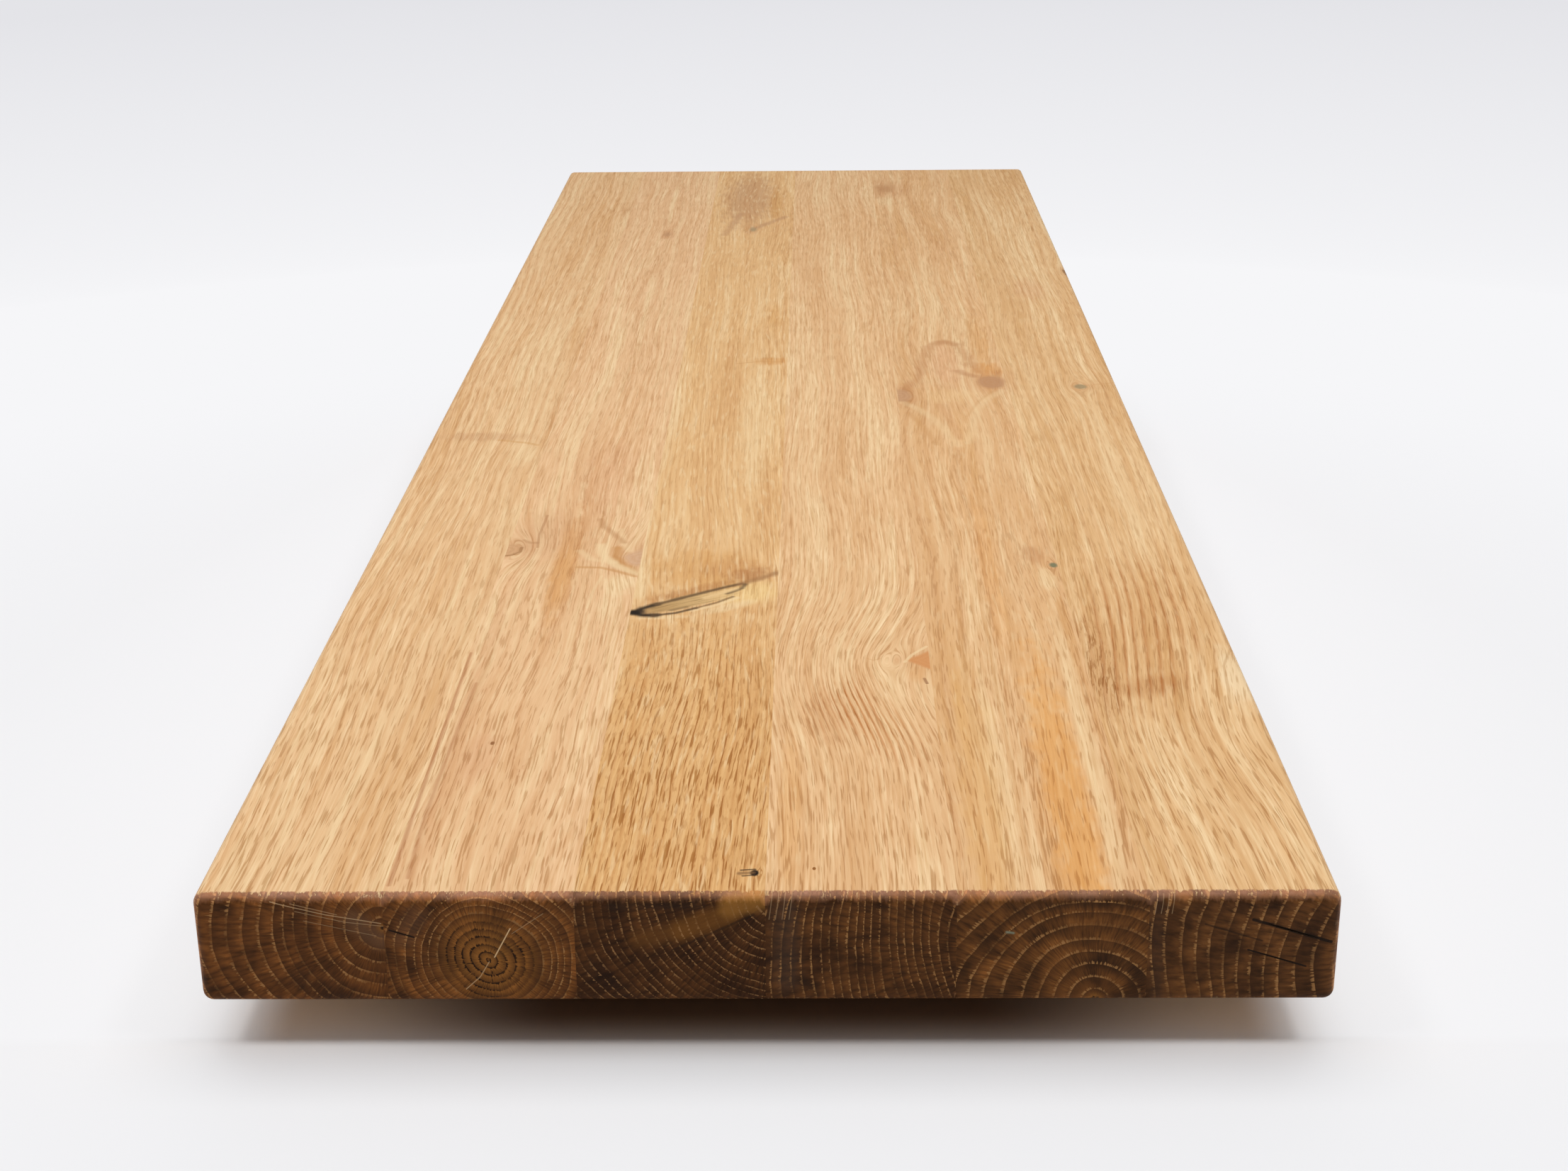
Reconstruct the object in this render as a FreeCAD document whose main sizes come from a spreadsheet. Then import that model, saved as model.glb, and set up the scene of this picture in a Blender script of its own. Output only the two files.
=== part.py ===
# Solid oak window sill board: full-length staves, edge-glued side by side,
# planed to one thickness, with every outer edge rounded over.
#
# Frame: +Y along the grain (the board's length), +X across the staves, +Z up.
# The origin is the middle of the underside. Millimetres.
import FreeCAD, Part
import Sketcher
import os

# Driving sizes.
BOARD_LENGTH = 1000.0  # along the grain
STAVE_COUNT = 6  # staves glued side by side
STAVE_WIDTH = 50.0  # one stave, glue face to glue face
THICKNESS = 32.0  # planed board
EDGE_RADIUS = 3.0  # round-over that runs along every outer edge

SHEET_ROWS = (
    ("board_length", BOARD_LENGTH),
    ("stave_count", STAVE_COUNT),
    ("stave_width", STAVE_WIDTH),
    ("thickness", THICKNESS),
    ("edge_radius", EDGE_RADIUS),
)

ON_FACE = 1e-4  # a point this near a glue face lies on it


def make_sheet(doc):
    """The spreadsheet that every size of the board is read from."""
    sheet = doc.addObject("Spreadsheet::Sheet", "sizes")
    for row, (alias, value) in enumerate(SHEET_ROWS, start=1):
        sheet.set(f"A{row}", alias)
        sheet.set(f"B{row}", str(value))
        sheet.setAlias(f"B{row}", alias)
    doc.recompute()
    return sheet


def base_plane(body, role):
    """One of the body's own origin planes, such as XY_Plane."""
    return next(f for f in body.Origin.OriginFeatures if f.Role == role)


def draw_outline(body, name):
    """The stave seen from above: a rectangle about the stave's own middle."""
    sketch = body.newObject("Sketcher::SketchObject", name + "_outline")
    sketch.AttachmentSupport = [(base_plane(body, "XY_Plane"), "")]
    sketch.MapMode = "FlatFace"
    half_w, half_l = STAVE_WIDTH / 2, BOARD_LENGTH / 2
    corners = [
        FreeCAD.Vector(x, y, 0)
        for x, y in ((-half_w, -half_l), (half_w, -half_l), (half_w, half_l), (-half_w, half_l))
    ]
    for start, end in zip(corners, corners[1:] + corners[:1]):
        sketch.addGeometry(Part.LineSegment(start, end), False)
    near_end, right_side, far_end, left_side = range(4)
    sketch.addConstraint(
        [
            Sketcher.Constraint("Coincident", near_end, 2, right_side, 1),
            Sketcher.Constraint("Coincident", right_side, 2, far_end, 1),
            Sketcher.Constraint("Coincident", far_end, 2, left_side, 1),
            Sketcher.Constraint("Coincident", left_side, 2, near_end, 1),
            Sketcher.Constraint("Horizontal", near_end),
            Sketcher.Constraint("Horizontal", far_end),
            Sketcher.Constraint("Vertical", right_side),
            Sketcher.Constraint("Vertical", left_side),
            Sketcher.Constraint("Symmetric", near_end, 1, right_side, 2, -1, 1),
        ]
    )
    width = sketch.addConstraint(
        Sketcher.Constraint("DistanceX", near_end, 1, near_end, 2, STAVE_WIDTH)
    )
    length = sketch.addConstraint(
        Sketcher.Constraint("DistanceY", right_side, 1, right_side, 2, BOARD_LENGTH)
    )
    sketch.renameConstraint(width, "width")
    sketch.renameConstraint(length, "length")
    sketch.setExpression("Constraints.width", "sizes.stave_width")
    sketch.setExpression("Constraints.length", "sizes.board_length")
    return sketch


def saw_stave(body, name, outline):
    """The sawn and planed stave, before its edges are rounded."""
    pad = body.newObject("PartDesign::Pad", name + "_thickness")
    pad.Profile = outline
    pad.setExpression("Length", "sizes.thickness")
    outline.Visibility = False
    return pad


def outer_edges(pad, glue_faces_x):
    """Names of the edges that the round-over follows: all that don't lie on a glue face."""
    names = []
    for number, edge in enumerate(pad.Shape.Edges, start=1):
        middle = edge.CenterOfMass
        if all(abs(middle.x - x) > ON_FACE for x in glue_faces_x):
            names.append(f"Edge{number}")
    return names


def round_over(body, name, pad, glue_faces_x):
    """The round-over on the stave's share of the board's outer edges."""
    fillet = body.newObject("PartDesign::Fillet", name + "_round_over")
    fillet.Base = (pad, outer_edges(pad, glue_faces_x))
    fillet.setExpression("Radius", "sizes.edge_radius")
    return fillet


def make_stave(doc, index):
    """One full-length stave, counted from the -X side of the board."""
    name = f"stave_{index + 1}"
    body = doc.addObject("PartDesign::Body", name)
    body.Label = name
    outline = draw_outline(body, name)
    pad = saw_stave(body, name, outline)
    doc.recompute()
    half = pad.Shape.BoundBox.XLength / 2
    glue_faces_x = []
    if index > 0:
        glue_faces_x.append(-half)
    if index < STAVE_COUNT - 1:
        glue_faces_x.append(half)
    fillet = round_over(body, name, pad, glue_faces_x)
    body.Tip = fillet
    body.setExpression(
        ".Placement.Base.x",
        f"({index} - (sizes.stave_count - 1) / 2) * sizes.stave_width",
    )
    doc.recompute()
    return body


def check(doc, staves):
    """Stops if any object failed, or a stave isn't one valid closed solid."""
    for obj in doc.Objects:
        if "Invalid" in obj.State or "Error" in obj.State:
            raise RuntimeError(f"{obj.Name} failed: {obj.State}")
    for stave in staves:
        shape = stave.Shape
        if shape.isNull() or not shape.isValid() or len(shape.Solids) != 1:
            raise RuntimeError(f"{stave.Label} isn't one valid solid")


def export(staves):
    """One STEP file for each stave, named after its label."""
    os.makedirs("parts", exist_ok=True)
    for stave in staves:
        stave.Shape.exportStep(f"parts/{stave.Label}.step")
        box = stave.Shape.BoundBox
        print(
            f"{stave.Label}: x {box.XMin:.2f} to {box.XMax:.2f}, y {box.YMin:.1f} to {box.YMax:.1f}, "
            f"z {box.ZMin:.2f} to {box.ZMax:.2f}, {stave.Shape.Volume / 1e6:.4f} litres"
        )


def main():
    doc = FreeCAD.newDocument("sill_board")
    make_sheet(doc)
    staves = [make_stave(doc, index) for index in range(STAVE_COUNT)]
    doc.recompute()
    check(doc, staves)
    export(staves)


main()
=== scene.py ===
"""Solid oak window sill board, dressed stave by stave.

Six full-length oak staves are glued edge to edge, planed flush, rounded over along every outer
edge and oiled. Each stave has its own place in its log, so its growth rings run on from the end
grain to the long faces, and its own knots, tone and drying checks.

Frame: +Y along the grain, +X across the staves, +Z up, origin in the middle of the underside.
Objects are in metres. Patterns and the sizes of knots and checks are in millimetres, measured
across the board from its middle line, along it from the near end and up from the underside.
"""

import logging
import math
from dataclasses import dataclass
from enum import Enum
from typing import Any

import bmesh
import bpy
from mathutils import Matrix, Vector

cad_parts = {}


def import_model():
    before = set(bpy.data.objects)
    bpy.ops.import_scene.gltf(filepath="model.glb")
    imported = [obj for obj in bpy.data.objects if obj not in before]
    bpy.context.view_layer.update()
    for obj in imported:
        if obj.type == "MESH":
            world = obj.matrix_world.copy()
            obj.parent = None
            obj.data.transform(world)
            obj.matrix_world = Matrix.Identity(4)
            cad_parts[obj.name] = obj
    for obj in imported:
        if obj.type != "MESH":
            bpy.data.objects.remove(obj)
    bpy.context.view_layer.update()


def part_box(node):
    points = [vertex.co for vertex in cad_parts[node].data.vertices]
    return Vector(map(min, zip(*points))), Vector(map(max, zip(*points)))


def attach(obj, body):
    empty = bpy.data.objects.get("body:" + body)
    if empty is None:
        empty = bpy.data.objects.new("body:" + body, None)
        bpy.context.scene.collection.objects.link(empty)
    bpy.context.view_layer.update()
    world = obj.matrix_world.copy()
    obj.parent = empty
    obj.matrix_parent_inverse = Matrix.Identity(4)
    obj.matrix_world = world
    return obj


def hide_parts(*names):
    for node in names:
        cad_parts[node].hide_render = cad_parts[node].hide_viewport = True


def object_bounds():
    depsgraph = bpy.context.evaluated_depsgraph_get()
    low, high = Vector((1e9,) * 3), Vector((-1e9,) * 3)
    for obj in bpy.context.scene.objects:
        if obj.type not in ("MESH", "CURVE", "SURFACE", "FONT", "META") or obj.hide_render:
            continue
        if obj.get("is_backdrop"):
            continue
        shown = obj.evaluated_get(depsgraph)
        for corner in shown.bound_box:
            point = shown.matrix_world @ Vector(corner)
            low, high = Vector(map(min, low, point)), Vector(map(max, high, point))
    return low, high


LOG = logging.getLogger("sill_board")

MM = 0.001  # one millimetre in metres
BODY = "root"  # the board is one body
BAKE_MAP = "OFBake"
Socket = bpy.types.NodeSocket

THROUGH = 40.0  # mm, deeper than the board is thick
VEIN_DEPTH = 12.0  # mm that a vein of a long face goes down

SMOOTH = {"interpolation_type": "SMOOTHSTEP"}  # a soft step between two values
COLOUR = {"data_type": "RGBA"}  # one colour over another
STAIN = {"data_type": "RGBA", "blend_type": "MULTIPLY"}  # one colour darkens another


def linear(hex_colour: str) -> tuple[float, float, float, float]:
    """Turns an sRGB hex colour to the linear values that nodes take.

    Args:
        hex_colour: six hex digits after a number sign, such as "#e4bb8c".

    Returns:
        Red, green, blue and an alpha of one.
    """
    digits = hex_colour.lstrip("#")
    channels = [int(digits[i : i + 2], 16) / 255 for i in (0, 2, 4)]
    red, green, blue = (
        c / 12.92 if c <= 0.04045 else ((c + 0.055) / 1.055) ** 2.4 for c in channels
    )
    return red, green, blue, 1.0


class Graph:
    """A material's node tree, filled one node at a time."""

    def __init__(self, tree: bpy.types.NodeTree) -> None:
        """Starts from an empty tree."""
        self.tree = tree
        tree.nodes.clear()

    def add(self, kind: str, *inputs: Any, **settings: Any) -> Socket:
        """Adds one node, sets it and links it.

        Args:
            kind: the node's type without its "ShaderNode" prefix, with its operation after
                a colon where it has one.
            inputs: a value or another node's socket for each input in turn, None to leave one.
            settings: the node's own properties, set before its inputs.

        Returns:
            The node's first output that is in use.
        """
        kind, _, operation = kind.partition(":")
        node = self.tree.nodes.new("ShaderNode" + kind)
        if operation:
            node.operation = operation
        for name, value in settings.items():
            setattr(node, name, value)
        sockets = [socket for socket in node.inputs if socket.enabled]
        for socket, value in zip(sockets, inputs):
            if isinstance(value, bpy.types.NodeSocket):
                self.tree.links.new(value, socket)
            elif value is not None:
                socket.default_value = value
        if not node.outputs:
            return node.inputs[0]
        return next(socket for socket in node.outputs if socket.enabled)


def fresh(name: str) -> tuple[bpy.types.Material, Graph]:
    """A new material and its empty graph."""
    material = bpy.data.materials.new(name)
    material.use_nodes = True
    return material, Graph(material.node_tree)


def block(low: Vector, high: Vector) -> bmesh.types.BMesh:
    """A block between two corners, in metres."""
    bm = bmesh.new()
    shape = Matrix.Translation((low + high) / 2) @ Matrix.Diagonal(high - low).to_4x4()
    bmesh.ops.create_cube(bm, size=1, matrix=shape)
    return bm


def placed(name: str, bm: bmesh.types.BMesh) -> bpy.types.Object:
    """Puts a finished shape in the scene.

    Args:
        name: the new object's name.
        bm: its shape, which is freed.

    Returns:
        The object, at the origin.
    """
    mesh = bpy.data.meshes.new(name)
    bm.to_mesh(mesh)
    bm.free()
    piece = bpy.data.objects.new(name, mesh)
    bpy.context.scene.collection.objects.link(piece)
    return piece


class Grade(Enum):
    """How a knot looks where the saw opened it."""

    SOUND = "sound"  # live branch: brown heart with rings of its own, thin darker rim
    SLANTED = "slanted"  # branch cut lengthwise: streaky, dark at its tip
    PIN = "pin"  # twig: a small dark plug


@dataclass(frozen=True)
class Knot:
    """A branch that the saw opened, in millimetres.

    Half sizes are those of the ellipsoid that the branch fills. The grain swings round it.
    """

    grade: Grade
    across: float
    along: float
    half_across: float
    half_along: float
    below: float = 0.0  # its middle, below the top face
    half_height: float = 14.0
    turn: float = 0.0  # degrees, of its long side away from across the board
    reach: float = 2.0  # how much longer than the knot the swing of the grain is
    pull: float = 1.0
    heart: str = "#cda06f"
    butt: str = "#dcbb80"  # a slanted knot's thick end
    rim: str = "#b57f4e"
    rim_share: float = 0.5
    share: float = 1.0  # how fully it hides the wood
    halo: float = 0.2  # how dark the crowded grain round it is
    ragged: float = 0.35
    soft: float = 0.25  # how far its outline fades, as a share of its size
    pointed: bool = False  # a lozenge, not an oval


@dataclass(frozen=True)
class Bend:
    """A place where the grain bows sideways, in millimetres."""

    across: float
    along: float
    half_across: float
    half_along: float
    push: float  # towards +X


@dataclass(frozen=True)
class Patch:
    """A place where a long face differs, in millimetres."""

    across: float
    along: float
    half_across: float
    half_along: float
    colour: str = "#ffffff"
    share: float = 0.0
    lines: float = 0.0  # how much more the rings stand out there
    pores: float = 0.0  # and the pores
    specks: float = 0.0  # and pores that the saw met at a slant, so that they're short
    turn: float = 0.0  # degrees
    ragged: float = 0.5


@dataclass(frozen=True)
class Vein:
    """A thin mark along a line: a vein, a shining ray, a knot's rim or the painted shade in a
    check.

    Its points are in millimetres: across and along on a long face, across and up on an end face.
    """

    points: tuple[tuple[float, float], ...]
    width: float
    colour: str
    share: float = 0.6
    soft: float = 1.0  # how much of its half width fades
    ragged: float = 0.5
    drift: bool = False  # follows the wandering grain
    under: bool = False  # a stain of the end grain, under its rows of pores


@dataclass(frozen=True)
class Check:
    """A drying crack in the near end face, in millimetres on that face."""

    start: tuple[float, float]
    stop: tuple[float, float]
    opening: float = 0.35
    depth: float = 6.0


@dataclass(frozen=True)
class Log:
    """Where a stave sat in its log, in millimetres on the near end face."""

    across: float
    height: float
    ring: float  # mean width of one year's ring
    squeeze: float = 1.0  # how much flatter than a circle the rings are
    lean: float = 0.3  # degrees that the heart drifts sideways along the stave
    dip: float = 0.2  # degrees that it drifts down


@dataclass(frozen=True)
class Tone:
    """Colours of one stave."""

    cream: str = "#efcf9f"  # palest streaks of the long face
    pale: str = "#e5bb8a"  # most of it
    warm: str = "#d7a56e"  # its warm streaks
    ring_share: float = 0.22  # how strongly the rings show on the long faces
    pore_share: float = 0.45
    fleck_share: float = 0.18
    end_dark: str = "#422611"  # end grain, late wood
    end_mid: str = "#7f4c22"  # end grain, between the rings
    end_row: str = "#b58450"  # rows of open pores
    row_share: float = 0.66
    glow: str = "#a8702c"  # end grain near the heart
    glow_reach: float = 12.0  # mm from the heart
    glow_share: float = 0.5
    arris_and_highlight_share: float = 0.8  # how strongly the round edge's browner grain and its painted highlight show above the end grain


@dataclass(frozen=True)
class Stave:
    """One stave: its node in the frame, its place in the log and what the saw opened."""

    node: str
    log: Log
    tone: Tone
    seed: float
    knots: tuple[Knot, ...] = ()
    bends: tuple[Bend, ...] = ()
    patches: tuple[Patch, ...] = ()
    veins: tuple[Vein, ...] = ()
    end_veins: tuple[Vein, ...] = ()
    checks: tuple[Check, ...] = ()


@dataclass(frozen=True)
class Mark:
    """One kind of small mark in the grain."""

    size: tuple[float, float]  # mm across the grain and along it
    rough: float
    shown: tuple[float, float]  # where in its noise a mark starts and is full


class Wood:
    """The wood at every point of one stave, as sockets of one material.

    The rings are shells about the heart of the log, so one set of them gives the arcs of the
    end grain and the lines and arches of the long faces.
    """

    def __init__(self, g: Graph, stave: Stave, oak: "OiledOak") -> None:
        """Works out place, grain, rings, pores and fibres.

        Args:
            g: the material's graph.
            stave: the stave that the material is for.
            oak: the finish, for the sizes of pores, fibres and rays.
        """
        self.g = g
        self.stave = stave
        self.oak = oak
        low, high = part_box(stave.node)
        self.near_end, self.top = low.y / MM, high.z / MM
        self.place = self.on_board()
        self.torn = self.tear()
        self.drifted = self.wander()
        self.grain = self.swing()
        self.radius, self.angle = self.from_heart()
        self.number, self.phase, self.year = self.years()
        self.pores = self.open_pores()
        self.fibres = self.fine_fibres()

    def on_board(self) -> Socket:
        """Position on the board in millimetres, counted along from the near end."""
        g, start = self.g, (0, -self.near_end, 0)
        place = g.tree.nodes.new("ShaderNodeTexCoord").outputs["Object"]
        return g.add("VectorMath:MULTIPLY_ADD", place, (1 / MM, 1 / MM, 1 / MM), start)

    def tear(self) -> Socket:
        """Unevenness, about zero, that tears the outlines of knots and patches."""
        uneven = self.drawn_out(self.place, (4, 11), 2.0, 0.6)
        return self.g.add("Math:SUBTRACT", uneven, 0.5)

    def wander(self) -> Socket:
        """Lets the grain wander a few millimetres along the stave."""
        g, seed = self.g, self.stave.seed
        drift = self.drawn_out(self.place, (45, 170), 1.5, 0.5, (seed, seed * 1.7, 0))
        drift = drift.node.outputs["Color"]
        centred = g.add("VectorMath:SUBTRACT", drift, (0.5, 0.5, 0.5))
        return g.add("VectorMath:MULTIPLY_ADD", centred, (12, 0, 6), self.place)

    def swing(self) -> Socket:
        """Bows the grain and swings it round each knot, as a stream parts round a stone."""
        g, grain = self.g, self.drifted
        for bend in self.stave.bends:
            centre = (bend.across, bend.along, self.top)
            size = (bend.half_across, bend.half_along, THROUGH)
            _, far = self.within(self.drifted, centre, size)
            square = g.add("Math:MULTIPLY", far, far)
            minus = g.add("Math:MULTIPLY", square, -1.0)
            hump = g.add("Math:EXPONENT", minus)
            grain = g.add("VectorMath:MULTIPLY_ADD", hump, (-bend.push, 0, 0), grain)
        for knot in self.stave.knots:
            if not knot.pull:
                continue
            size = (knot.half_across, knot.half_along * knot.reach, knot.half_height * 1.5)
            near, _ = self.within(grain, (knot.across, knot.along, self.top - knot.below), size)
            square = g.add("VectorMath:DOT_PRODUCT", near, near)
            soft = g.add("Math:ADD", square.node.outputs["Value"], 0.22)
            share = g.add("Math:DIVIDE", knot.pull, soft)
            pushed = g.add("VectorMath:SCALE", near, share)
            grain = g.add("VectorMath:MULTIPLY_ADD", pushed, (-knot.half_across, 0, 0), grain)
        return grain

    def within(
        self,
        at: Socket,
        centre: tuple[float, float, float],
        half: tuple[float, float, float],
        turn: tuple[float, float, float] = (0.0, 0.0, 0.0),
    ) -> tuple[Socket, Socket]:
        """Measures from the middle of an ellipsoid.

        Args:
            at: the position to measure.
            centre: its middle, in millimetres.
            half: its half sizes, in millimetres.
            turn: its turn about each axis, in radians.

        Returns:
            The position in half sizes and its length, which is one on the outline.
        """
        near = self.g.add("Mapping", at, centre, turn, half, vector_type="TEXTURE")
        length = self.g.add("VectorMath:LENGTH", near)
        return near, length.node.outputs["Value"]

    def from_line(self, vein: Vein, upright: bool) -> Socket:
        """Measures from a line of straight runs.

        Args:
            vein: the mark that follows the line.
            upright: whether it lies on an end face.

        Returns:
            The distance in half widths, which is one on the mark's edge.
        """
        g, thin = self.g, vein.width / 2
        at = self.drifted if vein.drift else self.place
        nearest: Socket | None = None
        for (x0, y0), (x1, y1) in zip(vein.points, vein.points[1:]):
            slope, reach = math.atan2(y1 - y0, x1 - x0), math.hypot(x1 - x0, y1 - y0) / vein.width
            x, y = (x0 + x1) / 2, (y0 + y1) / 2
            if upright:
                centre, turn, size = (x, 0, y), (0, -slope, 0), (thin, THROUGH, thin)
            else:
                centre, turn, size = (x, y, self.top), (0, 0, slope), (thin, thin, VEIN_DEPTH)
            near, _ = self.within(at, centre, size, turn)
            beyond = g.add("VectorMath:ABSOLUTE", near)
            beyond = g.add("VectorMath:SUBTRACT", beyond, (reach, 0, 0))
            beyond = g.add("VectorMath:MAXIMUM", beyond, (0, 0, 0))
            far = g.add("VectorMath:LENGTH", beyond).node.outputs["Value"]
            nearest = g.add("Math:MINIMUM", nearest, far) if nearest else far
        return g.add("Math:MULTIPLY_ADD", self.torn, vein.ragged, nearest)

    def from_heart(self) -> tuple[Socket, Socket]:
        """Distance in millimetres and direction in radians from the heart of the log."""
        g, log = self.g, self.stave.log
        turn = (math.radians(log.dip), 0.0, math.radians(log.lean))
        size = (1, 1e6, 1 / log.squeeze)
        near, radius = self.within(self.grain, (log.across, 0, log.height), size, turn)
        radius = g.add("Math:MULTIPLY_ADD", self.torn, 0.7, radius)
        parts = g.add("SeparateXYZ", near).node.outputs
        angle = g.add("Math:ARCTAN2", parts["Z"], parts["X"])
        return radius, angle

    def years(self) -> tuple[Socket, Socket, Socket]:
        """Counts the year's rings, wide and narrow.

        Returns:
            The ring's number, how far through its year a point is, and a tone for each ring.
        """
        g, log = self.g, self.stave.log
        uneven = g.add("TexNoise", self.radius, 0.16 / log.ring, 1.0, 0.5, noise_dimensions="1D")
        evenly = g.add("Math:MULTIPLY_ADD", self.radius, 1 / log.ring, self.stave.seed)
        year = g.add("Math:MULTIPLY_ADD", uneven, 1.8, evenly)
        phase = g.add("Math:FRACT", year)
        number = g.add("Math:FLOOR", year)
        tone = g.add("TexWhiteNoise", number, noise_dimensions="1D")
        return number, phase, tone

    def drawn_out(
        self,
        at: Socket,
        size: tuple[float, float],
        detail: float,
        rough: float,
        shift: tuple[float, float, float] = (0, 0, 0),
    ) -> Socket:
        """Noise drawn out along the grain.

        Args:
            at: the position in millimetres.
            size: its millimetres across the grain and along it.
            detail: how much finer noise lies on it.
            rough: how strong that is.
            shift: sets it apart from the same noise elsewhere.

        Returns:
            The noise, from 0 to 1.
        """
        across, along = size
        at = self.g.add("VectorMath:MULTIPLY_ADD", at, (1 / across, 1 / along, 1 / across), shift)
        return self.g.add("TexNoise", at, 1.0, detail, rough)

    def marks(
        self,
        mark: Mark,
        shift: tuple[float, float, float] = (0, 0, 0),
        crowding: Socket | float = 0.0,
    ) -> Socket:
        """Small marks strewn over the wood.

        Args:
            mark: their size and how many show.
            shift: sets them apart from other marks.
            crowding: how much more of them there are at each point.

        Returns:
            One on a mark and zero between them.
        """
        spread = self.drawn_out(self.grain, mark.size, 1.0, mark.rough, shift)
        crowded = self.g.add("Math:ADD", spread, crowding)
        return self.g.add("MapRange", crowded, *mark.shown, 0.0, 1.0, **SMOOTH)

    def open_pores(self) -> Socket:
        """Open pores: long in the grain, round across it, crowded where a ring starts."""
        early = self.g.add("MapRange", self.phase, 0.0, 0.5, 0.09, 0.0, **SMOOTH)
        return self.marks(self.oak.pore, crowding=early)

    def specks(self) -> Socket:
        """Pores that run into the face at a slant, so that only short bits of them show."""
        return self.marks(self.oak.speck)

    def flecks(self) -> Socket:
        """Rays that the saw met at a slant, as short pale streaks on a long face."""
        return self.marks(self.oak.fleck, (0, 7.3, self.stave.seed))

    def fine_fibres(self) -> Socket:
        """Fine fibres along the grain, from 0 to 1."""
        return self.drawn_out(self.grain, self.oak.fibre, 2.0, 0.6)


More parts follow.
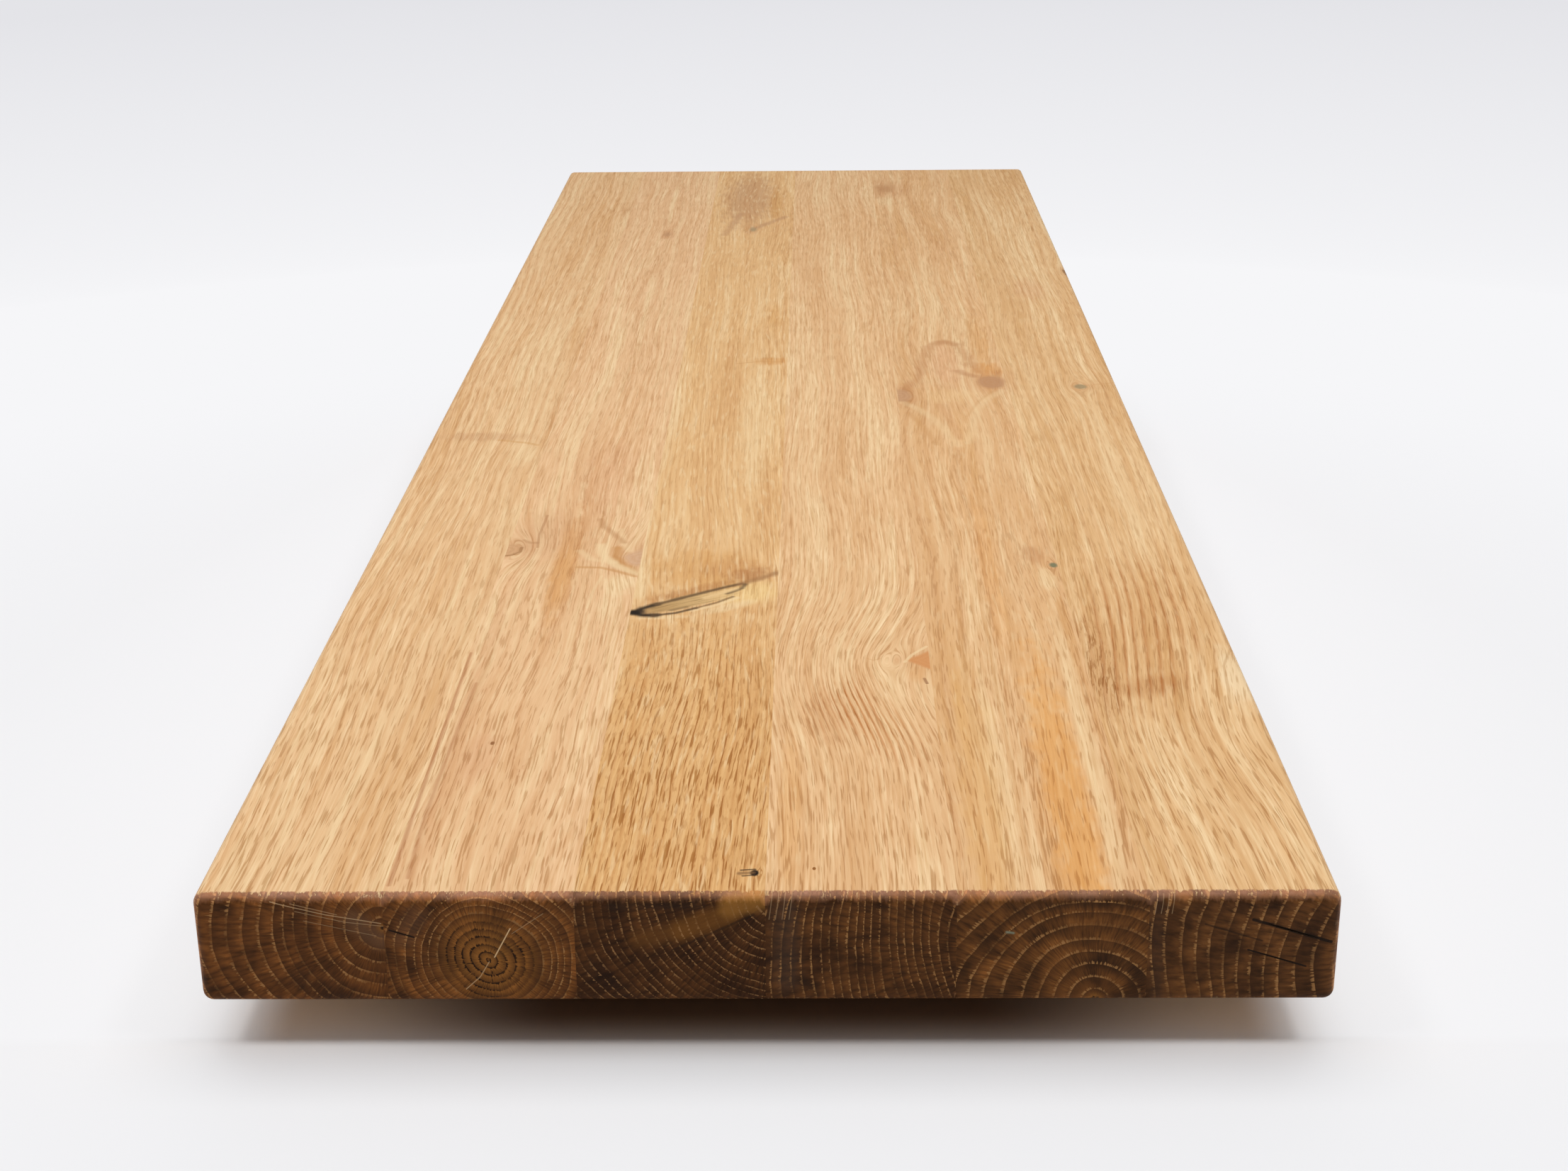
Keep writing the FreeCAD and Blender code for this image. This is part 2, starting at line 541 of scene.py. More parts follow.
@dataclass(frozen=True)
class OiledOak:
    """European oak, planed, sanded along the grain and oiled.

    The eye gets a matt, warm face: cream and tan streaks along the grain, open pores as thin
    dark dashes crowded where each ring starts, and a few pale flecks where the saw met the
    rays. End grain soaks up the oil, so it is several shades darker, with its pores in pale
    rows across the rays.
    """

    stave: Stave
    pore: Mark = Mark((0.55, 13.0), 0.4, (0.58, 0.68))  # twice the real width, to show
    speck: Mark = Mark((0.75, 6.0), 0.5, (0.54, 0.66))
    fleck: Mark = Mark((1.3, 16.0), 0.5, (0.57, 0.70))
    open_run: tuple[float, float] = (60.0, 320.0)  # mm along, where the pores close up
    closed_share: float = 0.5
    fibre: tuple[float, float] = (0.6, 24.0)  # mm, likewise wider than the real ones
    fibre_dark: tuple[float, float, float] = (0.88, 0.82, 0.74)  # what it leaves of the light
    fibre_light: tuple[float, float, float] = (1.12, 1.19, 1.29)
    calm: float = 0.6  # how much fainter the fibres are in the wood's even parts
    streak: tuple[float, float] = (2.8, 110.0)  # mm
    zone: tuple[float, float] = (16.0, 330.0)  # mm
    ray_gap: float = 0.024  # radians between rays
    row_gap: float = 0.55  # mm between the pores of a row
    roughness: float = 0.50
    ior: float = 1.47  # hardened oil
    gloss: float = 0.08  # the oil has soaked in, so little of it lies on the face
    rough_spread: float = 0.10  # between the foot and the crest of a fibre
    relief: float = 0.12 * MM  # how high a fibre stands
    relief_share: float = 0.35  # of it that the light shows
    pore_depth: float = 0.8  # as a share of the relief
    plain_tone: float = 0.79  # of streak and zone together, where the wood is neither pale nor warm
    tone_swing: float = 0.25  # from there to the palest and the warmest
    tone_share: float = 0.75  # how far those leave the plain tone
    ray_light: tuple[float, float] = (0.46, 1.36)  # what the darkest and palest ray give back
    oil_clouds: float = 0.11  # in a millimetre of end grain
    row_shown: tuple[float, float] = (0.52, 0.66)  # where in its noise a pore of a row shows
    edge_slope: tuple[float, float] = (0.08, 0.29)  # of the round edge, where end grain sets in
    arris_slope: tuple[float, float] = (1.14, 0.72)  # and where its painted highlight does, from below
    arris_highlight_gain: float = 1.6  # painted highlight: how much brighter the end grain is there
    halo_stain: str = "#c98f5c"  # crowded grain round a knot
    ring_stain: str = "#d3aa7c"
    pore_stain: str = "#b48b3f"
    fleck_colour: str = "#f6dcae"
    arris_colour: str = "#a97c64"
    tick_colour: str = "#2a1808"  # pores near the heart
    # painted shade inside the drying checks, darker than their walls would render
    crack_shade_colour: str = "#1c120b"

    def build(self) -> bpy.types.Material:
        """Makes the material.

        Returns:
            The stave's own oiled oak.
        """
        material, g = fresh(f"oiled_oak_{self.stave.node}")
        wood = Wood(g, self.stave, self)
        colour = self.joined(g, wood, self.long_face(g, wood), self.end_face(g, wood))
        relief = g.add("Math:MULTIPLY_ADD", wood.pores, -self.pore_depth, wood.fibres)
        bump = g.add("Bump", self.relief_share, self.relief, None, relief)
        smoothest = self.roughness - self.rough_spread / 2
        rough = g.add("Math:MULTIPLY_ADD", wood.fibres, self.rough_spread, smoothest)
        shader = g.add("BsdfPrincipled", colour, 0.0, rough, self.ior, 1.0, bump)
        shader.node.inputs["Specular IOR Level"].default_value = self.gloss
        g.add("OutputMaterial", shader)
        return material

    def long_face(self, g: Graph, wood: Wood) -> Socket:
        """Colour of the faces that run along the grain."""
        tone, seed = self.stave.tone, self.stave.seed
        streak = wood.drawn_out(wood.grain, self.streak, 3.0, 0.62, (seed, 0, 0))
        zone = wood.drawn_out(wood.drifted, self.zone, 1.0, 0.5, (0, seed, 0))
        both = g.add("Math:MULTIPLY_ADD", zone, 0.6, streak)
        plain, palest = self.plain_tone, self.plain_tone + self.tone_swing
        light = g.add("MapRange", both, plain, palest, 0.0, self.tone_share)
        warmest = self.plain_tone - self.tone_swing
        warm = g.add("MapRange", both, plain, warmest, 0.0, self.tone_share)
        colour = g.add("Mix", light, linear(tone.pale), linear(tone.cream), **COLOUR)
        colour = g.add("Mix", warm, colour, linear(tone.warm), **COLOUR)
        strength = g.add("Math:MULTIPLY", wood.year, streak)
        strength = g.add("Math:MULTIPLY", strength, tone.ring_share * 3.0)
        dashes: Socket | float = tone.pore_share
        specked: Socket | None = None
        for patch in self.stave.patches:
            centre = (patch.across, patch.along, wood.top)
            half = (patch.half_across, patch.half_along, THROUGH)
            _, far = wood.within(wood.place, centre, half, (0, 0, math.radians(patch.turn)))
            far = g.add("Math:MULTIPLY_ADD", wood.torn, patch.ragged * 2, far)
            inside = g.add("MapRange", far, 0.4, 1.25, 1.0, 0.0, **SMOOTH)
            if patch.lines:
                strength = g.add("Math:MULTIPLY_ADD", inside, patch.lines, strength)
            if patch.pores:
                dashes = g.add("Math:MULTIPLY_ADD", inside, patch.pores, dashes)
            if patch.specks:
                specked = g.add("Math:MULTIPLY_ADD", inside, patch.specks, specked or 0.0)
            if patch.share:
                share = g.add("Math:MULTIPLY", inside, patch.share)
                colour = g.add("Mix", share, colour, linear(patch.colour), **COLOUR)
        early = g.add("MapRange", wood.phase, 0.0, 0.30, 1.0, 0.0, **SMOOTH)
        late = g.add("MapRange", wood.phase, 0.70, 1.0, 0.0, 1.0)
        line = g.add("Math:MAXIMUM", early, late)
        line = g.add("Math:MULTIPLY", line, strength, use_clamp=True)
        colour = g.add("Mix", line, colour, linear(self.ring_stain), **STAIN)
        shade = g.add("MapRange", wood.fibres, 0.3, 0.7, 0.0, 1.0)
        green = g.add("SeparateColor", zone.node.outputs["Color"]).node.outputs["Green"]
        calm = g.add("MapRange", green, 0.42, 0.60, 0.0, self.calm)
        shade = g.add("Mix", calm, shade, 0.5, data_type="FLOAT")
        shade = g.add("Mix", shade, (*self.fibre_dark, 1.0), (*self.fibre_light, 1.0), **COLOUR)
        colour = g.add("VectorMath:MULTIPLY", colour, shade)
        fleck = g.add("Math:MULTIPLY", wood.flecks(), tone.fleck_share)
        colour = g.add("Mix", fleck, colour, linear(self.fleck_colour), **COLOUR)
        along = g.add("SeparateXYZ", wood.place).node.outputs["Y"]
        open_grain = g.add("MapRange", along, *self.open_run, 1.0, self.closed_share)
        dashes = g.add("Math:MULTIPLY", dashes, open_grain)
        dash = g.add("Math:MULTIPLY", wood.pores, dashes)
        if specked:
            dot = g.add("Math:MULTIPLY", wood.specks(), specked)
            dash = g.add("Math:MAXIMUM", dot, dash)
        colour = g.add("Mix", dash, colour, linear(self.pore_stain), **STAIN)
        colour = self.knotted(g, wood, colour)
        return self.veined(g, wood, colour, self.stave.veins, upright=False)

    def veined(
        self,
        g: Graph,
        wood: Wood,
        colour: Socket,
        veins: tuple[Vein, ...],
        upright: bool,
    ) -> Socket:
        """Lays veins over a face.

        Args:
            g: the material's graph.
            wood: the stave's wood.
            colour: the face so far.
            veins: the veins to lay.
            upright: whether the face is an end face.

        Returns:
            The face with its veins.
        """
        for vein in veins:
            far = wood.from_line(vein, upright)
            share = g.add("MapRange", far, 1.1 - vein.soft, 1.1, vein.share, 0.0, **SMOOTH)
            colour = g.add("Mix", share, colour, linear(vein.colour), **COLOUR)
        return colour

    def knotted(self, g: Graph, wood: Wood, colour: Socket) -> Socket:
        """Lays each knot's own rings, heart and rim over the face."""
        for knot in self.stave.knots:
            centre = (knot.across, knot.along, wood.top - knot.below)
            half = (knot.half_across, knot.half_along, knot.half_height)
            near, far = wood.within(wood.place, centre, half, (0, 0, math.radians(knot.turn)))
            if knot.pointed:
                sides = g.add("VectorMath:ABSOLUTE", near)
                far = g.add("VectorMath:DOT_PRODUCT", sides, (1, 1, 1))
                far = far.node.outputs["Value"]
            far = g.add("Math:MULTIPLY_ADD", wood.torn, knot.ragged, far)
            if knot.halo:
                halo = g.add("MapRange", far, 0.9, 2.1, knot.halo, 0.0, **SMOOTH)
                colour = g.add("Mix", halo, colour, linear(self.halo_stain), **STAIN)
            heart: Socket | tuple[float, ...] = linear(knot.heart)
            share: Socket | float = knot.share
            if knot.grade is Grade.SLANTED:
                from_tip = g.add("SeparateXYZ", near).node.outputs["X"]
                fade = g.add("MapRange", from_tip, -0.6, 0.8, 0.0, 1.0)
                heart = g.add("Mix", fade, heart, linear(knot.butt), **COLOUR)
                lengthwise = g.add("VectorMath:MULTIPLY", near, (1.8, 5.0, 1.0))
                streaks = g.add("TexNoise", lengthwise, 1.0, 2.0, 0.6)
                rings = g.add("MapRange", streaks, 0.46, 0.72, 0.0, 0.7)
                share = g.add("MapRange", from_tip, 0.1, 0.9, knot.share, 0.35 * knot.share)
            else:
                waves = g.add("Math:MULTIPLY", far, 20.0)
                waves = g.add("Math:SINE", waves)
                rings = g.add("MapRange", waves, -1.0, 1.0, 0.0, 0.25)
            body = g.add("Mix", rings, heart, linear(knot.rim), **COLOUR)
            rim = g.add("MapRange", far, 0.74, 0.98, 0.0, knot.rim_share, **SMOOTH)
            body = g.add("Mix", rim, body, linear(knot.rim), **COLOUR)
            inside = g.add("MapRange", far, 1.05 - knot.soft, 1.10, 1.0, 0.0, **SMOOTH)
            inside = g.add("Math:MULTIPLY", inside, share)
            colour = g.add("Mix", inside, colour, body, **COLOUR)
        return colour

    def end_face(self, g: Graph, wood: Wood) -> Socket:
        """Colour of the end grain, dark with oil."""
        tone, log = self.stave.tone, self.stave.log
        cloud = g.add("TexNoise", wood.place, self.oil_clouds, 2.0, 0.55).node.outputs
        blotch = g.add("MapRange", cloud["Fac"], 0.34, 0.64, 0.0, 0.75)
        mix = g.add("Math:MULTIPLY_ADD", wood.year, 0.35, blotch)
        colour = g.add("Mix", mix, linear(tone.end_dark), linear(tone.end_mid), **COLOUR)
        glow = g.add("MapRange", wood.radius, 0.0, tone.glow_reach, 1.0, 0.0, **SMOOTH)
        shining = g.add("Math:MULTIPLY", glow, tone.glow_share)
        colour = g.add("Mix", shining, colour, linear(tone.glow), **COLOUR)
        sector = g.add("Math:MULTIPLY", wood.angle, 1 / self.ray_gap)
        outward = g.add("Math:MULTIPLY", wood.radius, 1 / 6)
        spoke = g.add("CombineXYZ", sector, outward, 0.0)
        spoke = g.add("TexNoise", spoke, 1.0, 2.0, 0.6, noise_dimensions="2D")
        shade = g.add("MapRange", spoke, 0.25, 0.75, *self.ray_light)
        colour = g.add("VectorMath:SCALE", colour, shade)
        late = g.add("MapRange", wood.phase, 0.35, 1.0, 0.0, 0.6)
        colour = g.add("Mix", late, colour, linear(tone.end_dark), **COLOUR)
        stains = tuple(vein for vein in self.stave.end_veins if vein.under)
        colour = self.veined(g, wood, colour, stains, upright=True)
        out = g.add("Math:SUBTRACT", wood.number, self.stave.seed + 0.9)
        way = g.add("Math:MULTIPLY", wood.angle, out)
        way = g.add("Math:MULTIPLY", way, log.ring / self.row_gap)
        inward = g.add("Math:MULTIPLY_ADD", wood.number, 5.7, wood.phase)
        tick = g.add("CombineXYZ", way, inward, 0.0)
        tick = g.add("TexNoise", tick, 1.0, 1.0, 0.6, noise_dimensions="2D")
        early = g.add("MapRange", wood.phase, 0.05, 0.36, 0.15, -0.26, **SMOOTH)
        crowding = g.add("Math:MULTIPLY", glow, 0.15)
        early = g.add("Math:ADD", early, crowding)
        tick = g.add("Math:ADD", tick, early)
        green = g.add("SeparateColor", cloud["Color"]).node.outputs["Green"]
        strength = g.add("MapRange", green, 0.40, 0.60, 0.2 * tone.row_share, tone.row_share)
        row = g.add("MapRange", tick, *self.row_shown, 0.0, 1.0)
        strength = g.add("Math:MULTIPLY_ADD", glow, 0.7, strength)
        row = g.add("Math:MULTIPLY", row, strength, use_clamp=True)
        near_heart = g.add("MapRange", glow, 0.10, 0.3, 0.0, 1.0)
        pore = g.add("Mix", near_heart, linear(tone.end_row), linear(self.tick_colour), **COLOUR)
        colour = g.add("Mix", row, colour, pore, **COLOUR)
        rays = tuple(vein for vein in self.stave.end_veins if not vein.under)
        return self.veined(g, wood, colour, rays, upright=True)

    def joined(self, g: Graph, wood: Wood, face: Socket, end: Socket) -> Socket:
        """Joins face and end over the round edge, whose open grain is browner than the face.

        Towards the top of the round edge the end grain is lightened and the brown band grows where
        it faces up: partly real open grain, partly a painted highlight.

        Args:
            g: the material's graph.
            wood: the stave's wood.
            face: colour of the long faces.
            end: colour of the end faces.

        Returns:
            The whole stave's colour.
        """
        normal = g.tree.nodes.new("ShaderNodeNewGeometry").outputs["Normal"]
        facing = g.add("SeparateXYZ", normal).node.outputs
        slope = g.add("Math:ABSOLUTE", facing["Y"])
        # down-facing round edges are kept out of the painted highlight
        under = g.add("MapRange", facing["Z"], -0.1, -0.5, 0.0, 0.35)
        turned = g.add("Mapping", wood.place, (0, 0, 0), (0, 0.8, 0), (1.1, 0.45, 0.35),
                       vector_type="POINT")
        stroke = g.add("TexNoise", turned, 1.0, 3.0, 0.65)
        uneven = g.add("Math:MULTIPLY_ADD", stroke, 0.6, slope)
        uneven = g.add("Math:ADD", uneven, under)
        height = g.add("SeparateXYZ", wood.place).node.outputs["Z"]
        drawn_down = g.add("MapRange", height, wood.top - 4.0, wood.top - 2.0, 0.0, -0.12)
        uneven = g.add("Math:ADD", uneven, drawn_down)
        rise = g.add("MapRange", uneven, *self.arris_slope, 0.0, 1.0)
        # Painted highlight: the end grain is lightened towards the top of the round edge.
        gain = g.add("Math:MULTIPLY_ADD", rise, self.arris_highlight_gain, 1.0)
        lit = g.add("VectorMath:SCALE", end, gain)
        shade = g.add("MapRange", stroke, 0.25, 0.75, 0.45, 1.5)
        arris = g.add("VectorMath:SCALE", linear(self.arris_colour)[:3], shade)
        patchy = g.add("TexNoise", wood.place, 0.07, 2.0, 0.6)
        bright = g.add("MapRange", patchy, 0.36, 0.60, 0.45 * self.stave.tone.arris_and_highlight_share,
                       self.stave.tone.arris_and_highlight_share)
        # Painted highlight: the brown band grows where the round edge faces up.
        upward = g.add("MapRange", facing["Z"], -0.2, 0.3, 0.2, 1.0)
        bright = g.add("Math:MULTIPLY", bright, upward)
        bright = g.add("Math:MULTIPLY", bright, rise)
        band = g.add("Mix", bright, lit, arris, **COLOUR)
        fray = g.add("MapRange", stroke, 0.36, 0.64, 0.3, 2.0)
        frayed = g.add("Math:MULTIPLY", slope, fray)
        edge = g.add("MapRange", frayed, *self.edge_slope, 0.0, 1.0, **SMOOTH)
        colour = g.add("Mix", edge, face, band, **COLOUR)
        # Painted shade: each check is drawn near black along and inside its slot, where shade
        # falls.
        painted_crack_shades = tuple(
            Vein((check.start, check.stop), check.opening * 2.0, self.crack_shade_colour, 0.92,
                 soft=0.5, ragged=0.2)
            for check in self.stave.checks
        )
        return self.veined(g, wood, colour, painted_crack_shades, upright=True)


@dataclass(frozen=True)
class Panel:
    """Where one side of a stave lies on its baked image, in pixels from the lower left."""

    left: float
    bottom: float
    scale: float  # pixels for a millimetre
    width: float  # millimetres across one run
    runs: int = 1  # how many it is cut into along the grain


@dataclass
class StavePiece:
    """The dressed stave that stands for its CAD node."""

    stave: Stave
    glued_left: bool
    glued_right: bool
    round_over: float = 3.0 * MM
    round_segments: int = 6
    step_along: float = 25 * MM
    step_across: float = 2.5 * MM
    end_steps: tuple[float, ...] = (4 * MM, 6 * MM, 10 * MM)
    image_size: float = 1024.0  # pixels of the baked image
    top_panel: Panel = Panel(2, 12, 4.0, 50, runs=4)
    underside_panel: Panel = Panel(814, 12, 1.0, 50, runs=2)
    outer_panel: Panel = Panel(918, 12, 1.0, 32, runs=2)
    near_panel: Panel = Panel(814, 520, 4.0, 50)
    far_panel: Panel = Panel(814, 656, 4.0, 50)
    left_glue_panel: Panel = Panel(814, 800, 0.2, 32)
    right_glue_panel: Panel = Panel(824, 800, 0.2, 32)
    check_panel: Panel = Panel(840, 800, 2.7, 50)

    def build(self) -> bpy.types.Object:
        """Models, dresses and hangs the stave on the board.

        Returns:
            The stave's object.
        """
        low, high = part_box(self.stave.node)
        bm = block(low, high)
        self.round_edges(bm, low, high)
        self.divide(bm, low, high)
        piece = placed(self.stave.node + "_oak", bm)
        piece.data.materials.append(OiledOak(self.stave).build())
        self.split(piece, low.y)
        self.unwrap(piece.data, low, high)
        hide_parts(self.stave.node)
        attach(piece, BODY)
        LOG.info("%s: %d faces", piece.name, len(piece.data.polygons))
        return piece

    def split(self, piece: bpy.types.Object, near_end: float) -> None:
        """Opens the drying checks in the near end face.

        Args:
            piece: the stave, whose mesh gets the slots.
            near_end: where that face is, in metres along the board.
        """
        for check in self.stave.checks:
            (x0, z0), (x1, z1) = check.start, check.stop
            reach = math.hypot(x1 - x0, z1 - z0) / 2 * MM
            middle = Vector(((x0 + x1) / 2 * MM, near_end, (z0 + z1) / 2 * MM))
            slope = math.atan2(z1 - z0, x1 - x0)
            wedge = bmesh.new()
            bmesh.ops.create_cone(
                wedge, segments=8, radius1=1, radius2=0.5, depth=2, cap_ends=True,
                matrix=Matrix.Rotation(-slope, 4, "Y")
                @ Matrix.Diagonal((reach, check.depth * MM, check.opening / 2 * MM, 1))
                @ Matrix.Rotation(math.radians(-90), 4, "X"),
            )
            bmesh.ops.translate(wedge, verts=wedge.verts, vec=middle)
            cutter = placed("check", wedge)
            cut = piece.modifiers.new("check", "BOOLEAN")
            cut.operation = "DIFFERENCE"
            cut.solver = "EXACT"
            cut.object = cutter
            graph = bpy.context.evaluated_depsgraph_get()
            opened = bpy.data.meshes.new_from_object(piece.evaluated_get(graph))
            piece.modifiers.clear()
            whole, piece.data = piece.data, opened
            opened.name = whole.name
            for mesh in (whole, cutter.data):
                bpy.data.meshes.remove(mesh)

    def unwrap(self, mesh: bpy.types.Mesh, low: Vector, high: Vector) -> None:
        """Lays the stave out flat for the baked model, with most of the image for its top.

        Args:
            mesh: the stave, with its checks opened.
            low: its lowest corner, in metres.
            high: its highest corner.
        """
        layer = mesh.uv_layers.new(name=BAKE_MAP)
        for face in mesh.polygons:
            axis = max(range(3), key=lambda i: abs(face.normal[i]))
            upward = face.normal[axis] > 0
            skin = high[axis] if upward else low[axis]
            inside = abs(face.center[axis] - skin) > self.round_over + 0.1 * MM
            panel = self.check_panel if inside else self.panel_of(axis, upward)
            length = (high.y - low.y) / panel.runs
            run = min(int((face.center.y - low.y) / length), panel.runs - 1)
            for corner in face.loop_indices:
                x, y, z = (mesh.vertices[mesh.loops[corner].vertex_index].co - low) / MM
                if inside:
                    across, along = x, z + 0.7 * y + (0 if face.normal.z > 0 else 40)
                elif axis == 1:
                    across, along = x, z
                else:
                    across, along = (x if axis == 2 else z), y - run * length / MM
                across += run * (panel.width + 2 / panel.scale)
                layer.data[corner].uv = (
                    (panel.left + across * panel.scale) / self.image_size,
                    (panel.bottom + along * panel.scale) / self.image_size,
                )

    def panel_of(self, axis: int, upward: bool) -> Panel:
        """Picks the panel of one side of the stave.

        Args:
            axis: the axis that the side faces along: 0, 1 or 2.
            upward: whether it faces towards the axis's positive end.

        Returns:
            Its place on the baked image.
        """
        if axis == 2:
            return self.top_panel if upward else self.underside_panel
        if axis == 1:
            return self.far_panel if upward else self.near_panel
        if upward:
            return self.right_glue_panel if self.glued_right else self.outer_panel
        return self.left_glue_panel if self.glued_left else self.outer_panel

    def round_edges(self, bm: bmesh.types.BMesh, low: Vector, high: Vector) -> None:
        """Rounds over the edges that lie on the outside of the board."""
        glue = []
        if self.glued_left:
            glue.append(low.x)
        if self.glued_right:
            glue.append(high.x)
        outer = [
            edge
            for edge in bm.edges
            if all(abs((edge.verts[0].co.x + edge.verts[1].co.x) / 2 - x) > 0.1 * MM for x in glue)
        ]
        rounded = bmesh.ops.bevel(
            bm, geom=outer, offset=self.round_over, affect="EDGES", offset_type="OFFSET",
            segments=self.round_segments, profile=0.5, material=-1,
        )
        for face in rounded["faces"]:
            face.smooth = True

    def divide(self, bm: bmesh.types.BMesh, low: Vector, high: Vector) -> None:
        """Cuts loops across and along, closer near the ends, so that no face is long."""
        cuts = [(Vector((0, 1, 0)), low.y + step) for step in self.end_steps]
        cuts += [(Vector((0, 1, 0)), high.y - step) for step in self.end_steps]
        count = round((high.y - low.y) / self.step_along)
        cuts += [(Vector((0, 1, 0)), low.y + i * self.step_along) for i in range(1, count)]
        count = round((high.x - low.x) / self.step_across)
        cuts += [(Vector((1, 0, 0)), low.x + i * self.step_across) for i in range(1, count)]
        for axis, distance in cuts:
            bmesh.ops.bisect_plane(
                bm, geom=bm.verts[:] + bm.edges[:] + bm.faces[:], dist=1e-7,
                plane_co=axis * distance, plane_no=axis,
            )


@dataclass
class Board:
    """The whole sill board, stave by stave from -X."""

    staves: tuple[Stave, ...]

    def build(self) -> list[bpy.types.Object]:
        """Builds every stave.

        Returns:
            The staves' objects.
        """
        last = len(self.staves) - 1
        return [
            StavePiece(stave, glued_left=i > 0, glued_right=i < last).build()
            for i, stave in enumerate(self.staves)
        ]


@dataclass(frozen=True)
class Lamp:
    """One soft lamp of the studio, aimed at the board. Sizes and places are in metres."""

    name: str
    at: tuple[float, float, float]
    width: float
    depth: float
    power: float
    aim: tuple[float, float, float] = (0.0, -0.3, 0.0)

    def hang(self) -> None:
        """Hangs the lamp in the scene."""
        light = bpy.data.lights.new(self.name, "AREA")
        light.shape = "RECTANGLE"
        light.size = self.width
        light.size_y = self.depth
        light.energy = self.power
        holder = bpy.data.objects.new(self.name, light)
        way = Vector(self.aim) - Vector(self.at)
        holder.matrix_world = Matrix.Translation(self.at) @ (
            way.to_track_quat("-Z", "Y").to_matrix().to_4x4()
        )
        bpy.context.scene.collection.objects.link(holder)


@dataclass
class Studio:
    """Pale sweep, soft lamps and the camera. None of it is part of the board."""

    drop: float = 13.3 * MM  # the board lies on a low plinth, so its shadow falls clear of it
    plinth_inset: tuple[float, float] = (80 * MM, 30 * MM)  # across and along
    # dark, so that it deepens the shade under the board: painted shade
    plinth_shade_colour: str = "#2c221a"
    painted_shadow_colour: str = "#755e4d"  # painted shadow on the floor under the board
    painted_shadow_across: tuple[float, float] = (-95 * MM, -30 * MM)  # painted shadow, outside the board's sides
    painted_shadow_along: tuple[float, float] = (-18 * MM, 10 * MM)  # painted shadow, outside its ends
    painted_contact_colour: str = "#463c35"  # painted contact shadow round the board's far half
    painted_contact_share: float = 0.85
    painted_contact_across: tuple[float, float] = (-25 * MM, 6 * MM)
    painted_contact_along: tuple[float, float] = (-25 * MM, 50 * MM)
    painted_contact_run: tuple[float, float] = (-0.15, 0.15)  # where the painted contact shadow sets in along the board
    painted_spill_share: float = 0.7  # painted light from the sides: the share of the even pale tone, at its most
    painted_spill_start: tuple[float, float] = (-22 * MM, 12 * MM)
    painted_spill_stop: tuple[float, float] = (40 * MM, 150 * MM)
    painted_spill_ahead: tuple[float, float] = (-5 * MM, 0.0)  # where it weakens past the ends
    painted_spill_left: float = 0.3  # of it past the ends
    floor_size: float = 40.0
    floor_colour: str = "#eeeeef"
    near_colour: str = "#f6f6f8"  # the even tone of the floor round the lit part
    far_colour: str = "#e4e4e8"
    lit_about: tuple[float, float, float] = (0.0, -0.45, 0.0)
    lit_fade: tuple[float, float] = (0.26, 0.66)  # metres from there
    tone_fade: tuple[float, float] = (0.9, 2.35)
    tone_curve: float = 0.6  # below one, it fades quickly at first
    world_strength: float = 0.36
    sensor: float = 36.0  # mm across
    lens: float = 52.915  # mm
    camera_at: tuple[float, float, float] = (0.01438, -1.03041, 0.32060)
    pitch: float = 20.890
    yaw: float = -0.928
    roll: float = -0.575
    lamps: tuple[Lamp, ...] = (
        Lamp("overhead", (0.0, -0.1, 1.9), 2.2, 1.6, 22.5),
        Lamp("left_strip", (-1.15, -0.75, 1.9), 0.45, 0.35, 9.5),
        Lamp("right_strip", (1.15, -0.75, 1.9), 0.45, 0.35, 9.5),
    )

    def build(self) -> None:
        """Sets up the stage."""
        self.floor()
        self.plinth()
        for lamp in self.lamps:
            lamp.hang()
        self.world()
        self.camera()
        bpy.context.scene.view_settings.view_transform = "Standard"

    def floor(self) -> None:
        """The pale floor, lit round the board and an even pale tone far from it, with a painted
        shadow under and round the board and painted light from the sides beside it.
        """
        _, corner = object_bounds()
        bm = bmesh.new()
        bmesh.ops.create_grid(bm, x_segments=1, y_segments=1, size=self.floor_size / 2)
        bmesh.ops.translate(bm, verts=bm.verts, vec=(0, 0, -self.drop))
        floor = placed("floor", bm)
        material, g = fresh("pale_floor")
        place = g.add("TexCoord").node.outputs["Object"]
        out = g.add("VectorMath:ABSOLUTE", place)
        out = g.add("VectorMath:SUBTRACT", out, corner)
        outside = g.add("SeparateXYZ", out).node.outputs
        # Painted shadow: the floor's colour is darkened under the board, where shade falls.
        shade = self.painted_shadow_share(g, outside, self.painted_shadow_across, self.painted_shadow_along)
        colour = g.add("Mix", shade, linear(self.floor_colour), linear(self.painted_shadow_colour), **COLOUR)
        matt = g.add("BsdfPrincipled", colour, 0.0, 0.9)
        away = g.add("VectorMath:DISTANCE", place, self.lit_about)
        away = away.node.outputs["Value"]
        fade = g.add("MapRange", away, *self.tone_fade, 0.0, 1.0)
        fade = g.add("Math:POWER", fade, self.tone_curve)
        tone = g.add("Mix", fade, linear(self.near_colour), linear(self.far_colour), **COLOUR)
        # Painted contact shadow: the even tone is darkened under and round the board's far half.
        beyond = g.add("SeparateXYZ", place).node.outputs["Y"]
        beyond = g.add("MapRange", beyond, *self.painted_contact_run, 0.0, self.painted_contact_share)
        under = self.painted_shadow_share(g, outside, self.painted_contact_across, self.painted_contact_along)
        under = g.add("Math:MULTIPLY", under, beyond)
        tone = g.add("Mix", under, tone, linear(self.painted_contact_colour), **COLOUR)
        even = g.add("Emission", tone, 1.0)
        far = g.add("MapRange", away, *self.lit_fade, 0.0, 1.0, **SMOOTH)
